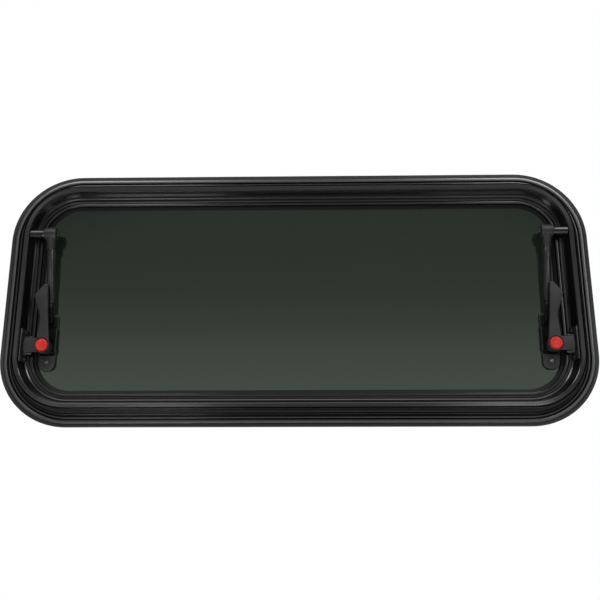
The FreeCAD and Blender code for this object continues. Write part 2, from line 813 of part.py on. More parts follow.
def build_stay(side, sign):
    s = size
    build_pin(side, sign)
    inward = FreeCAD.Rotation(V(0, 0, 1), V(-sign, 0, 0))
    cap_at = ((knuckle_x - s["knuckle_width"].half()) * sign, -s["pin_depth"], pin_z)
    cap_radius = s["pin_cap_radius"]
    cap_end = s["pin_cap_thickness"]
    turned("pin_cap_" + side, cap_at, [
        (ZERO, ZERO),
        (cap_radius, ZERO),
        (cap_radius, cap_end - s["pin_cap_round"]),
        (cap_radius - s["pin_cap_round"], cap_end),
        (ZERO, cap_end),
    ], inward)

    foot_x = latch_x - s["stay_foot_offset"]
    foot_z = latch_z + s["base_top"]
    lean_x = knuckle_x - foot_x
    lean_y = s["stay_foot_depth"] + s["pin_depth"]
    drop = pin_z - foot_z
    reach = root(lean_x.squared() + lean_y.squared() + drop.squared())
    down = FreeCAD.Rotation(V(0, 0, 1), V(lean_x.value * sign, -lean_y.value, drop.value))
    head_at = (knuckle_x * sign, -s["pin_depth"], pin_z)

    tilt = FreeCAD.Rotation(V(0, 0, 1), V(0, -lean_y.value, drop.value))
    knuckle = new_body("stay_knuckle_" + side, head_at, tilt)
    neck = sketch_on(knuckle, "XY_Plane")
    neck.AttachmentOffset = FreeCAD.Placement(V(), tilt.inverted().multiply(down))
    circle(neck, ZERO, ZERO, s["neck_radius"])
    neck_pad = pad(knuckle, neck, s["neck_length"])
    neck_pad.Reversed = True
    eye = sketch_on(knuckle, "YZ_Plane")
    circle(eye, ZERO, ZERO, s["knuckle_radius"])
    pad(knuckle, eye, s["knuckle_width"], midplane=True)
    hole = sketch_on(knuckle, "YZ_Plane")
    circle(hole, ZERO, ZERO, s["pin_core_radius"] + s["pin_core_clearance"])
    pocket(knuckle, hole)

    neck_end = -s["neck_length"]
    collar_end = neck_end - s["collar_length"]
    turned("tube_collar_" + side, head_at, [
        (ZERO, neck_end),
        (s["collar_radius"], neck_end),
        (s["collar_radius"], collar_end),
        (ZERO, collar_end),
    ], down)

    tube_end = s["rod_exposed"] - reach
    ring_start = tube_end + s["tube_end_ring"]
    groove_radius = s["tube_radius"] - s["tube_end_groove"]
    bore_radius = s["rod_radius"] + s["tube_wall_clearance"]
    turned("stay_tube_" + side, head_at, [
        (ZERO, collar_end),
        (s["tube_radius"], collar_end),
        (s["tube_radius"], ring_start + s["tube_end_groove"]),
        (groove_radius, ring_start + s["tube_end_groove"]),
        (groove_radius, ring_start),
        (s["tube_radius"], ring_start),
        (s["tube_radius"], tube_end),
        (bore_radius, tube_end),
        (bore_radius, tube_end + s["tube_bore_depth"]),
        (ZERO, tube_end + s["tube_bore_depth"]),
    ], down)

    rod_start = tube_end + s["rod_overlap"]
    turned("stay_rod_" + side, head_at, [
        (ZERO, rod_start),
        (s["rod_radius"], rod_start),
        (s["rod_radius"], s["rod_seat_gap"] - reach),
        (ZERO, s["rod_seat_gap"] - reach),
    ], down)

    block = new_body("stay_foot_" + side, (foot_x * sign, ZERO, foot_z))
    outline = front_sketch(block, -s["base_face"])
    half = s["foot_width"].half()
    polygon(outline, [
        (-half, ZERO), (half, ZERO), (half, -s["foot_length"]), (-half, -s["foot_length"]),
    ])
    pad(block, outline, s["base_face"] + s["foot_front"])


build_flange()
build_frame_body()
build_sash()
build_hinge()
for side_name, side_sign in SIDES.items():
    build_latch(side_name, side_sign)
    build_keeper(side_name, side_sign)
    build_stay(side_name, side_sign)
doc.recompute()

faulty = []
for item in doc.Objects:
    if any(word in ("Invalid", "Error") for word in item.State):
        faulty.append(item.Label)
for body in nodes:
    if body.Shape.isNull() or not body.Shape.isValid() or not body.Shape.Solids:
        faulty.append(body.Label)
if faulty:
    raise RuntimeError("faulty objects: " + ", ".join(faulty))

os.makedirs("parts", exist_ok=True)
for body in nodes:
    body.Shape.exportStep(f"parts/{body.Label}.step")
print(len(nodes), "nodes written")
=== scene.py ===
import bmesh
import bpy
import math
from mathutils import Matrix, Vector


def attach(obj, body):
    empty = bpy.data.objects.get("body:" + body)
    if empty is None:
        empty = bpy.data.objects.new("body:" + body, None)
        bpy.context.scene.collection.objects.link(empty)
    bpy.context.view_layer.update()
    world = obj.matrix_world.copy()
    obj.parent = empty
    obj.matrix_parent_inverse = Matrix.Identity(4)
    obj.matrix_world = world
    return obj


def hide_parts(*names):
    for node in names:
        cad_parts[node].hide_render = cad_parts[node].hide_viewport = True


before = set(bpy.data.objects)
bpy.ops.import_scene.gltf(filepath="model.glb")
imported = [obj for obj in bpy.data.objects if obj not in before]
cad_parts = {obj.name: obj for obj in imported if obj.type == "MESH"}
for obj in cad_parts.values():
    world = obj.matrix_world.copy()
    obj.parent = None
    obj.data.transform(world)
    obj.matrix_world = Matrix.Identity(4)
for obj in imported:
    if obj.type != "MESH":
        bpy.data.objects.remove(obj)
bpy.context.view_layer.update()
scene = bpy.context.scene

# Lengths are in millimetres, measured from the window's centre: x to the right, y outward, z up.
# A height is measured toward the room, so it is -y.
CENTRE_Z = 160.4
HALF_WIDTH = 403.0
HALF_HEIGHT = 179.0
CORNER = 96.0
LATCH_X = 343.1
LATCH_Z = -70.6
KNUCKLE_X = 344.65
PIN_Z = 89.0
PIN_HEIGHT = 10.0
SIDES = {"left": -1, "right": 1}

# Turns (across, up, height) into (x, y, z) on a face that looks toward the room
FACING_ROOM = Matrix(((1, 0, 0, 0), (0, 0, -1, 0), (0, 1, 0, 0), (0, 0, 0, 1)))

# A rounding takes up to EDGE_SHARE of an edge, and corners flatter than STRAIGHT stay as they are
EDGE_SHARE = 0.48
STRAIGHT = 0.02
CORNER_STEPS = 26
RIM_STEPS = 4
LATHE_ROUND_STEPS = 3
SHARP_ANGLE = 32.0


def soften(points, steps=4):
    """Replace the corners (a, b, radius) of a closed line by short arcs."""
    line = []
    for index, (a, b, radius) in enumerate(points):
        here = Vector((a, b))
        back = Vector(points[index - 1][:2]) - here
        ahead = Vector(points[(index + 1) % len(points)][:2]) - here
        room = min(back.length, ahead.length) * EDGE_SHARE
        back.normalize()
        ahead.normalize()
        middle = back + ahead
        if radius <= 0 or middle.length < STRAIGHT:
            line.append((a, b))
            continue
        half = math.acos(max(-1.0, min(1.0, back.dot(ahead)))) / 2
        reach = min(radius / math.tan(half), room)
        used = reach * math.tan(half)
        hub = here + middle.normalized() * (used / math.sin(half))
        start = here + back * reach - hub
        end = here + ahead * reach - hub
        first = math.atan2(start.y, start.x)
        sweep = math.atan2(end.y, end.x) - first
        sweep = (sweep + math.pi) % (2 * math.pi) - math.pi
        for step in range(steps + 1):
            angle = first + sweep * step / steps
            line.append((hub.x + used * math.cos(angle), hub.y + used * math.sin(angle)))
    return line


def outline(inset):
    """The window's rounded rectangle moved inward."""
    radius = CORNER - inset
    points = []
    for sign_x, sign_z, start in ((1, -1, -90), (1, 1, 0), (-1, 1, 90), (-1, -1, 180)):
        for step in range(CORNER_STEPS + 1):
            angle = math.radians(start + 90 * step / CORNER_STEPS)
            points.append((sign_x * (HALF_WIDTH - CORNER) + radius * math.cos(angle),
                           sign_z * (HALF_HEIGHT - CORNER) + radius * math.sin(angle)))
    return points


def inward(points, distance):
    """Move a closed anticlockwise line inward."""
    moved = []
    for index, point in enumerate(points):
        here = Vector(point)
        back = (here - Vector(points[index - 1])).normalized()
        ahead = (Vector(points[(index + 1) % len(points)]) - here).normalized()
        one = Vector((-back.y, back.x))
        two = Vector((-ahead.y, ahead.x))
        shift = (one + two) / max(0.3, 1 + one.dot(two))
        moved.append(tuple(here + shift * distance))
    return moved


def disc(radius, steps=48):
    """Circle about the origin."""
    angles = [2 * math.pi * step / steps for step in range(steps)]
    return [(radius * math.cos(angle), radius * math.sin(angle)) for angle in angles]


class Shape:
    """Mesh of one piece, gathered from closed loops of points."""

    def __init__(self):
        self.points = []
        self.faces = []
        self.corners = []

    def bridge(self, loops, wrap=False, caps=True):
        """Join each loop to the next, with lengths along and across kept for the materials."""
        base = len(self.points)
        count = len(loops[0])
        for loop in loops:
            self.points.extend(tuple(point) for point in loop)
        longest = max(loops, key=lambda loop: (Vector(loop[0]) - Vector(loop[count // 3])).length)
        along = [0.0]
        for index in range(count):
            step = Vector(longest[(index + 1) % count]) - Vector(longest[index])
            along.append(along[-1] + step.length)
        across = [0.0]
        rows = len(loops) if wrap else len(loops) - 1
        for row in range(rows):
            step = Vector(loops[(row + 1) % len(loops)][0]) - Vector(loops[row][0])
            across.append(across[-1] + step.length)
        for row in range(rows):
            here = base + row * count
            there = base + (row + 1) % len(loops) * count
            low, high = across[row], across[row + 1]
            for index in range(count):
                after = (index + 1) % count
                left, right = along[index], along[index + 1]
                self.faces.append((here + index, here + after, there + after, there + index))
                self.corners.append(((left, low), (right, low), (right, high), (left, high)))
        if caps and not wrap:
            for row in (0, len(loops) - 1):
                self.faces.append(tuple(base + row * count + index for index in range(count)))
                self.corners.append(tuple((0.0, 0.0) for index in range(count)))

    def ring(self, profile):
        """Sweep a closed (inset, y, radius) profile along the window's outline."""
        loops = []
        for inset, y in soften(profile):
            loops.append([(x, y, z) for x, z in outline(inset)])
        self.bridge(loops, wrap=True)

    def lathe(self, profile, place, steps=48):
        """Turn a (radius, height, rounding) profile that starts and ends on the axis."""
        loops = []
        for radius, height in soften(profile, LATHE_ROUND_STEPS):
            circle = disc(max(radius, 0.0), steps)
            loops.append([place @ Vector((x, z, height)) for x, z in circle])
        self.bridge(loops, caps=False)

    def slab(self, line, low, high, place, rim, foot=0.0):
        """Thick plate on a closed line, its upper rim rounded by rim and its lower one by foot."""
        area = sum(line[i - 1][0] * line[i][1] - line[i][0] * line[i - 1][1]
                   for i in range(len(line)))
        if area < 0:
            line = line[::-1]
        angles = [math.pi / 2 * step / RIM_STEPS for step in range(RIM_STEPS + 1)]
        levels = [(0.0, low)]
        if foot:
            levels = [(foot * (1 - math.sin(angle)), low + foot * (1 - math.cos(angle)))
                      for angle in angles]
        levels += [(rim * (1 - math.cos(angle)), high - rim * (1 - math.sin(angle)))
                   for angle in angles]
        loops = []
        for inset, height in levels:
            loops.append([place @ Vector((x, z, height)) for x, z in inward(line, inset)])
        self.bridge(loops)

    def piece(self, name, body, slot, look, nodes):
        """Make the object, in metres in the frame, hang it on its body and hide the CAD parts it
        stands for.
        """
        mesh = bpy.data.meshes.new(name)
        points = [(x / 1000, y / 1000, (z + CENTRE_Z) / 1000) for x, y, z in self.points]
        mesh.from_pydata(points, [], self.faces)
        layer = mesh.uv_layers.new(name="along")
        values = [value for face in self.corners for u, v in face for value in (u / 1000, v / 1000)]
        layer.data.foreach_set("uv", values)
        work = bmesh.new()
        work.from_mesh(mesh)
        bmesh.ops.remove_doubles(work, verts=work.verts, dist=2e-6)
        bmesh.ops.dissolve_degenerate(work, edges=work.edges, dist=1e-7)
        bmesh.ops.recalc_face_normals(work, faces=work.faces)
        for face in work.faces:
            face.smooth = True
        work.to_mesh(mesh)
        work.free()
        mesh.set_sharp_from_angle(angle=math.radians(SHARP_ANGLE))
        mesh.materials.append(look)
        made = bpy.data.objects.new(name, mesh)
        scene.collection.objects.link(made)
        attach(made, body)
        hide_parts(*nodes)


def place_at(x, y, z, axis):
    """Frame whose third axis points along axis."""
    turn = Vector(axis).to_track_quat("Z", "Y").to_matrix().to_4x4()
    return Matrix.Translation((x, y, z)) @ turn


def facing(x, z):
    """Frame at one place of the window that looks toward the room."""
    return Matrix.Translation((x, 0, z)) @ FACING_ROOM


# Materials

def new_look(name):
    """Material with its nodes, its links and its shader."""
    look = bpy.data.materials.new(name)
    look.use_nodes = True
    nodes = look.node_tree.nodes
    return look, nodes, look.node_tree.links, nodes["Principled BSDF"]


def noise(nodes, links, source, scale, detail, roughness=0.55):
    """Soft random pattern on some coordinates."""
    texture = nodes.new("ShaderNodeTexNoise")
    texture.inputs["Scale"].default_value = scale
    texture.inputs["Detail"].default_value = detail
    texture.inputs["Roughness"].default_value = roughness
    links.new(source, texture.inputs["Vector"])
    return texture.outputs["Fac"]


def stretched(nodes, links, source, scale):
    node = nodes.new("ShaderNodeMapping")
    node.inputs["Scale"].default_value = scale
    links.new(source, node.inputs["Vector"])
    return node.outputs["Vector"]


def ranged(nodes, links, value, low, high, start=0.35, end=0.65):
    """Carry a value between start and end over to low and high."""
    node = nodes.new("ShaderNodeMapRange")
    node.inputs["From Min"].default_value = start
    node.inputs["From Max"].default_value = end
    node.inputs["To Min"].default_value = low
    node.inputs["To Max"].default_value = high
    links.new(value, node.inputs["Value"])
    return node.outputs["Result"]


def maths(nodes, links, operation, *values):
    """Math node whose inputs are numbers or outputs of other nodes."""
    node = nodes.new("ShaderNodeMath")
    node.operation = operation
    for value, socket in zip(values, node.inputs):
        if isinstance(value, float):
            socket.default_value = value
        else:
            links.new(value, socket)
    return node.outputs["Value"]


def blended(nodes, links, factor, one, two):
    node = nodes.new("ShaderNodeMix")
    node.data_type = "RGBA"
    node.inputs["A"].default_value = (*one, 1.0)
    node.inputs["B"].default_value = (*two, 1.0)
    links.new(factor, node.inputs["Factor"])
    return node.outputs["Result"]


def uneven(nodes, links, shader, cloud, dark, light, grain, smooth, matt):
    """Colour that changes with the cloud, and roughness that changes with the grain."""
    links.new(blended(nodes, links, ranged(nodes, links, cloud, 0.0, 1.0), dark, light),
              shader.inputs["Base Color"])
    links.new(ranged(nodes, links, grain, smooth, matt), shader.inputs["Roughness"])


def bumped(nodes, links, shader, height, distance, strength, under=None):
    """Relief on the shader, laid over another relief where one is given."""
    node = nodes.new("ShaderNodeBump")
    node.inputs["Strength"].default_value = strength
    node.inputs["Distance"].default_value = distance
    links.new(height, node.inputs["Height"])
    if under is not None:
        links.new(under, node.inputs["Normal"])
    links.new(node.outputs["Normal"], shader.inputs["Normal"])
    return node.outputs["Normal"]


def extruded_coat(name, dark, light, rough, gloss=0.5):
    """Satin black coat on an extrusion: faint die lines along it and a fine orange peel."""
    look, nodes, links, shader = new_look(name)
    place = nodes.new("ShaderNodeTexCoord")
    along = stretched(nodes, links, place.outputs["UV"], (6.0, 1600.0, 1.0))
    lines = noise(nodes, links, along, 1.0, 3.0, 0.6)
    peel = noise(nodes, links, place.outputs["Object"], 1400.0, 2.0)
    cloud = noise(nodes, links, place.outputs["Object"], 22.0, 5.0, 0.6)
    uneven(nodes, links, shader, cloud, dark, light, lines, rough - 0.05, rough + 0.07)
    under = bumped(nodes, links, shader, lines, 0.00002, 0.5)
    bumped(nodes, links, shader, peel, 0.00001, 0.5, under)
    shader.inputs["Specular IOR Level"].default_value = gloss
    return look


def moulded(name, dark, light, rough, gloss, grain=1800.0, depth=0.00002, coat=0.0):
    """Moulded plastic or rubber with a fine grain and slight cloudiness."""
    look, nodes, links, shader = new_look(name)
    place = nodes.new("ShaderNodeTexCoord")
    cloud = noise(nodes, links, place.outputs["Object"], 60.0, 5.0, 0.6)
    fine = noise(nodes, links, place.outputs["Object"], grain, 3.0, 0.6)
    uneven(nodes, links, shader, cloud, dark, light, fine, rough - 0.05, rough + 0.07)
    bumped(nodes, links, shader, fine, depth, 0.6)
    shader.inputs["Specular IOR Level"].default_value = gloss
    shader.inputs["Coat Weight"].default_value = coat
    shader.inputs["Coat Roughness"].default_value = 0.08
    return look


def worked_metal(name, dark, light, rough, metallic, stretch=(300.0, 300.0, 300.0)):
    """Turned or drawn metal with fine tool marks."""
    look, nodes, links, shader = new_look(name)
    place = nodes.new("ShaderNodeTexCoord")
    marks = stretched(nodes, links, place.outputs["Object"], stretch)
    lines = noise(nodes, links, marks, 1.0, 4.0, 0.6)
    cloud = noise(nodes, links, place.outputs["Object"], 90.0, 4.0, 0.6)
    uneven(nodes, links, shader, cloud, dark, light, lines, rough - 0.06, rough + 0.08)
    bumped(nodes, links, shader, lines, 0.000015, 0.5)
    shader.inputs["Metallic"].default_value = metallic
    return look


def tinted_pane():
    """Dark green-grey glass, a little uneven in tint and very slightly wavy."""
    look, nodes, links, shader = new_look("tinted_pane")
    place = nodes.new("ShaderNodeTexCoord")
    cloud = noise(nodes, links, place.outputs["Object"], 3.0, 3.0, 0.5)
    wave = noise(nodes, links, place.outputs["Object"], 7.0, 2.0, 0.4)
    uneven(nodes, links, shader, cloud, (0.0076, 0.0112, 0.0086), (0.0086, 0.0126, 0.0096),
           cloud, 0.012, 0.03)
    bumped(nodes, links, shader, wave, 0.00006, 0.3)
    shader.inputs["Transmission Weight"].default_value = 1.0
    shader.inputs["IOR"].default_value = 1.52
    shader.inputs["Specular Tint"].default_value = (0.80, 1.0, 0.79, 1.0)
    return look


COAT = extruded_coat("black_aluminium", (0.0012, 0.0012, 0.0013), (0.0022, 0.0022, 0.0023), 0.18)
# Same black aluminium as the flange with a paler colour and a stronger gloss: a painted highlight
# on the flange's bead
BEAD_HIGHLIGHT_COAT = extruded_coat("black_bead_painted_highlight", (0.0030, 0.0030, 0.0031), (0.0045, 0.0045, 0.0047),
                          0.28, gloss=1.0)
GLAZING = moulded("glazing_rubber", (0.0018, 0.0018, 0.0018), (0.0030, 0.0030, 0.0030),
                  0.45, gloss=0.14, grain=900.0, depth=0.00003)
RUBBER = moulded("seal_rubber", (0.0018, 0.0018, 0.0018), (0.0030, 0.0030, 0.0030),
                 0.38, gloss=0.30, grain=900.0, depth=0.00003)
PANE = tinted_pane()
PLASTIC = moulded("black_plastic", (0.0080, 0.0080, 0.0084), (0.0120, 0.0120, 0.0124),
                  0.42, gloss=0.35)
GREY = moulded("grey_plastic", (0.0085, 0.0085, 0.0088), (0.0120, 0.0120, 0.0124),
               0.46, gloss=0.32)
RED = moulded("red_plastic", (0.36, 0.013, 0.010), (0.42, 0.018, 0.013),
              0.36, gloss=0.2, grain=1500.0, depth=0.00001, coat=0.08)
# Darker copy of the black plastic: painted shade in the base's recess and on the stay's foot, under
# the lever
MATT_PAINTED_SHADE = moulded("matt_plastic_painted_shade", (0.0020, 0.0020, 0.0021), (0.0040, 0.0040, 0.0042),
               0.55, gloss=0.10)
PIN = moulded("pin_steel", (0.0015, 0.0015, 0.0016), (0.0030, 0.0030, 0.0032), 0.12, gloss=0.40)
STEEL = worked_metal("black_steel", (0.0025, 0.0025, 0.0027), (0.0050, 0.0050, 0.0053), 0.14, 0.0)
# Paler metal copy of the keeper's black steel, the catch keeping the black: a painted highlight on
# the keeper's plate
PLATE_HIGHLIGHT_STEEL = worked_metal("plate_steel_painted_highlight", (0.060, 0.060, 0.063), (0.090, 0.090, 0.094), 0.30, 0.9)
BOLT = worked_metal("bolt_steel", (0.09, 0.09, 0.093), (0.14, 0.14, 0.143), 0.26, 0.9)
SCREW = worked_metal("screw_steel", (0.035, 0.035, 0.037), (0.060, 0.060, 0.063), 0.32, 0.9)
STAY = worked_metal("stay_aluminium", (0.012, 0.012, 0.0125), (0.018, 0.018, 0.0185), 0.17, 0.25,
                    stretch=(700.0, 700.0, 25.0))


# Frame rings

FLANGE = [
    (0.6, 3.2, 0.2), (0.0, 2.9, 0.15), (0.0, 0.7, 0.2), (0.7, 0.25, 0.3), (4.5, 0.65, 0.3),
    (4.9, 1.6, 0.1), (9.9, 2.0, 0.1), (10.4, 3.0, 0.1), (11.3, 2.2, 0.1), (11.6, 1.3, 0.8),
    (13.8, 1.3, 0.8), (14.0, 2.2, 0.1), (15.6, 3.1, 0.15), (16.4, 1.2, 0.2), (16.7, 0.1, 0.3),
    (17.3, 0.0, 0.4), (19.2, 0.5, 0.8), (21.6, 0.2, 0.0), (21.6, 3.2, 0.0),
]
BEAD = [(5.1, 2.5, 0.0), (5.1, 0.1, 0.6), (7.5, 0.05, 1.0), (9.9, 0.45, 0.8), (9.9, 2.5, 0.0)]
BODY = [
    (21.6, 3.2, 0.0), (21.6, -17.8, 0.15), (21.9, -17.9, 0.1), (22.3, -15.5, 0.1),
    (23.0, -12.5, 0.2), (23.6, -16.0, 0.1), (23.8, -18.45, 0.25), (25.5, -17.95, 0.4),
    (28.5, -17.3, 0.4), (29.4, -16.8, 0.3), (30.1, -15.4, 0.3), (31.6, -11.5, 2.0),
    (33.0, -6.5, 2.0), (34.6, -2.6, 1.0), (36.2, -1.7, 0.0), (36.2, 3.2, 0.0),
]
SEAL = [
    (36.2, 4.0, 0.0), (36.2, -1.0, 0.25), (38.9, -1.18, 0.4), (39.9, -0.3, 0.4),
    (40.3, 1.9, 0.1), (40.6, 1.9, 0.1), (40.6, 4.0, 0.0),
]
SASH = [
    (25.4, 4.0, 0.3), (40.6, 4.0, 0.0), (40.6, 2.4, 0.1), (40.8, 0.98, 0.2), (42.4, 0.88, 0.2),
    (42.8, 1.5, 0.1), (43.1, 0.75, 0.2), (44.1, 0.95, 0.3), (44.6, 5.6, 0.2),
    (44.6, 7.6, 0.0), (27.2, 7.6, 0.0), (27.2, 11.2, 0.3), (26.5, 11.9, 0.4), (25.4, 11.9, 0.5),
    (24.6, 11.1, 0.4), (24.6, 4.8, 0.4),
]
GASKET = [
    (44.6, 7.6, 0.0), (44.6, 5.0, 0.2), (45.4, 5.2, 0.3), (49.2, 6.9, 0.3),
    (49.7, 7.3, 0.1), (49.7, 7.6, 0.0),
]
BACK_BEAD = [(27.2, 7.7, 0.0), (28.2, 7.7, 0.0), (28.2, 11.0, 0.3), (27.2, 11.4, 0.0)]


HOOD_END = 300.0
CAP_END = 304.0


def frame_rings():
    """Profiles of the frame and the sash, swept along the outline."""
    for name, node, look, slot, profiles in (
        ("flange_skin", "outer_flange", COAT, "black_aluminium", [FLANGE]),
        ("flange_bead", "outer_flange", BEAD_HIGHLIGHT_COAT, "black_aluminium", [BEAD]),
        ("body_skin", "frame_body", COAT, "black_aluminium", [BODY]),
        ("seal_skin", "sash_seal", RUBBER, "seal_rubber", [SEAL]),
        ("sash_skin", "sash_frame", COAT, "black_aluminium", [SASH]),
        ("gasket_skin", "glazing_gasket", GLAZING, "seal_rubber", [GASKET, BACK_BEAD]),
    ):
        shape = Shape()
        for profile in profiles:
            shape.ring(profile)
        shape.piece(name, "window", slot, look, [node])


def hinge():
    """Hood of the top hinge on the outside, with a moulded cap on each end."""
    top = HALF_HEIGHT - 8.0
    bottom = HALF_HEIGHT - 27.5
    along_x = Matrix(((0, 0, 1, 0), (1, 0, 0, 0), (0, 1, 0, 0), (0, 0, 0, 1)))
    hood = soften([
        (3.2, top, 0.0), (5.0, top, 0.6), (10.6, top - 1.6, 3.0), (12.8, top - 5.0, 3.0),
        (14.0, top - 9.8, 3.0), (14.0, bottom, 0.4), (12.6, bottom, 0.4),
        (12.6, top - 12.6, 1.0), (11.2, top - 9.8, 0.8), (3.2, top - 9.8, 0.0),
    ])
    rail = Shape()
    rail.slab(hood, -HOOD_END, HOOD_END, along_x, rim=0.2)
    rail.piece("hinge_hood", "window", "black_aluminium", COAT, ["hinge_rail"])
    for side, sign in SIDES.items():
        line = soften([
            (3.3, top + 0.3, 0.4), (5.0, top + 0.4, 0.8), (10.9, top - 1.4, 3.0),
            (13.2, top - 4.9, 3.0), (14.4, top - 9.8, 3.0), (14.4, bottom - 0.3, 0.6),
            (12.7, bottom - 0.3, 0.6), (12.7, HALF_HEIGHT - 24.3, 0.5),
            (4.2, HALF_HEIGHT - 24.3, 0.3), (3.3, HALF_HEIGHT - 23.5, 0.2),
        ])
        cap = Shape()
        low, high = sorted((HOOD_END * sign, CAP_END * sign))
        cap.slab(line, low, high, along_x,
                 rim=0.8 if sign > 0 else 0.2, foot=0.8 if sign < 0 else 0.2)
        cap.piece("hinge_end_" + side, "window", "black_plastic", PLASTIC, ["hinge_cap_" + side])


# Latches, with lengths from the lever's axis

BORE = 9.3
OVERLAP = 0.02
WAIST = 40.0
TIP_ROUND = 1.6
RAMP_START = 22.0
RAMP_LENGTH = 50.0
GRIP_LIFT = 2.7
ARM_HEIGHTS = (9.5, 14.5)
ARM_RIMS = (0.7, 1.3)
TONGUE_HALF = 9.6
TONGUE_REACH = 25.4
TONGUE_ROUND = 0.8
TONGUE_HEIGHTS = (10.5, 14.0)
TONGUE_RIMS = (0.5, 0.8)
BAR_STEPS = 5
FINE_STEPS = 64
LEVER_LINE = soften([
    (-2.4, 85.0, 1.6), (2.4, 85.0, 1.6), (15.2, 69.0, 3.0), (5.4, 40.0, 26.0), (8.4, 6.0, 6.0),
    (9.0, -4.0, 0.0), (-9.4, -4.0, 0.0), (-9.0, 8.0, 6.0), (-5.4, 40.0, 26.0),
], 8)
LEVER_TOP = max(z for x, z in LEVER_LINE)
HUB = [
    (0.0, 8.5, 0.0), (5.05, 8.5, 0.0), (5.05, 5.0, 0.2), (10.0, 5.0, 0.5), (10.4, 5.6, 0.4),
    (10.4, 14.5, 0.9), (9.2, 14.5, 0.25), (9.2, 11.0, 0.0), (0.0, 11.0, 0.0),
]
BUTTON = [
    (0.0, 13.2, 0.0), (8.6, 13.2, 0.2), (8.6, 14.8, 0.5), (7.4, 16.6, 0.9), (5.6, 16.6, 0.8),
    (4.4, 15.7, 0.8), (0.0, 15.7, 0.0),
]
SPINDLE = [
    (0.0, 0.0, 0.0), (7.0, 0.0, 0.0), (7.0, 4.7, 0.5), (5.0, 4.7, 0.2), (5.0, 8.2, 0.4),
    (0.0, 8.2, 0.0),
]


def crossings(line, height):
    """Lowest and highest x of a closed line at one height."""
    found = []
    for index, (x, z) in enumerate(line):
        before_x, before_z = line[index - 1]
        if (before_z - height) * (z - height) <= 0 and before_z != z:
            found.append(before_x + (x - before_x) * (height - before_z) / (z - before_z))
    return min(found), max(found)


def end_trim(distance, radius):
    """What a rounded end takes off a bar at some distance before it."""
    close = max(0.0, 1.0 - distance / radius)
    return radius * (1 - math.sqrt(max(0.0, 1 - close * close)))


def bar_section(low, high, heights, rims, lift, trim):
    """Section across a bar between two sides and two heights."""
    back = heights[0] + lift + trim
    front = heights[1] + lift - trim
    return soften([(low, back, rims[0]), (high, back, rims[0]),
                   (high, front, rims[1]), (low, front, rims[1])], BAR_STEPS)


def past_bore(shape, first, edges, heights, rims, place):
    """Two strips that carry a bar past the bore in its way; edges gives its sides at one place."""
    low, high = heights
    rows = 8
    for side in (0, 1):
        loops = []
        for row in range(rows + 1):
            along = first + (BORE - OVERLAP - first) * row / rows
            far = edges(along)[side]
            near = math.copysign(math.sqrt(BORE ** 2 - along ** 2), far)
            width = 0.45 * abs(far - near)
            section = soften([
                (near, low, 0.0), (far, low, min(rims[0], width)),
                (far, high, min(rims[1], width)), (near, high, 0.0),
            ], BAR_STEPS)
            loops.append([place(along, across, height) for across, height in section])
        shape.bridge(loops)


def lever_arm(shape, sign):
    """Arm from the hub up to the tip, which lifts toward the room on its way."""
    def place(along, across, height):
        return (LATCH_X + across) * sign, -height, LATCH_Z + along

    start = BORE - OVERLAP
    heights = [start + (WAIST - start) * step / 13 for step in range(14)]
    heights += [WAIST + (LEVER_TOP - WAIST - TIP_ROUND) * step / 30 for step in range(1, 31)]
    heights += [LEVER_TOP - gap for gap in (1.2, 0.8, 0.45, 0.2, 0.05)]
    loops = []
    for height in heights:
        low, high = crossings(LEVER_LINE, min(height, LEVER_TOP - 0.01))
        ramp = max(0.0, min(1.0, (height - RAMP_START) / RAMP_LENGTH))
        lift = GRIP_LIFT * ramp * ramp * (3 - 2 * ramp)
        trim = end_trim(LEVER_TOP - height, TIP_ROUND)
        section = bar_section(low, high, ARM_HEIGHTS, ARM_RIMS, lift, trim)
        loops.append([place(height, x, h) for x, h in section])
    shape.bridge(loops)
    past_bore(shape, 4.6, lambda height: crossings(LEVER_LINE, height),
              ARM_HEIGHTS, ARM_RIMS, place)


def lever_tongue(shape, sign):
    """Tongue from the hub toward the jamb, its end on a circle about the axis."""
    def place(along, across, height):
        return (LATCH_X + along) * sign, -height, LATCH_Z + across

    places = [BORE - OVERLAP + 2.8 * step for step in range(6)]
    places += [TONGUE_REACH - gap for gap in (1.4, 1.0, 0.7, 0.45, 0.25, 0.1, 0.02)]
    loops = []
    for along in places:
        half = min(TONGUE_HALF, math.sqrt(TONGUE_REACH ** 2 - along ** 2))
        rims = [min(rim, half / 3) for rim in TONGUE_RIMS]
        trim = end_trim(TONGUE_REACH - along, TONGUE_ROUND)
        section = bar_section(-half, half, TONGUE_HEIGHTS, rims, 0.0, trim)
        loops.append([place(along, across, h) for across, h in section])
    shape.bridge(loops)
    past_bore(shape, 3.0, lambda along: (-TONGUE_HALF, TONGUE_HALF),
              TONGUE_HEIGHTS, TONGUE_RIMS, place)


def lever(side, sign):
    """Lever, push button and the spindle that the lever turns on."""
    centre = facing(LATCH_X * sign, LATCH_Z)
    shape = Shape()
    lever_arm(shape, sign)
    shape.lathe(HUB, centre, FINE_STEPS)
    lever_tongue(shape, sign)
    shape.piece("lever_" + side + "_skin", "lever_" + side, "grey_plastic", GREY,
                ["latch_lever_" + side])

    button = Shape()
    button.lathe(BUTTON, centre, FINE_STEPS)
    button.piece("button_" + side + "_skin", "button_" + side, "red_plastic", RED,
                 ["latch_button_" + side])

    spindle = Shape()
    spindle.lathe(SPINDLE, centre)
    spindle.piece("spindle_" + side, "window", "black_plastic", PLASTIC, ["latch_spindle_" + side])


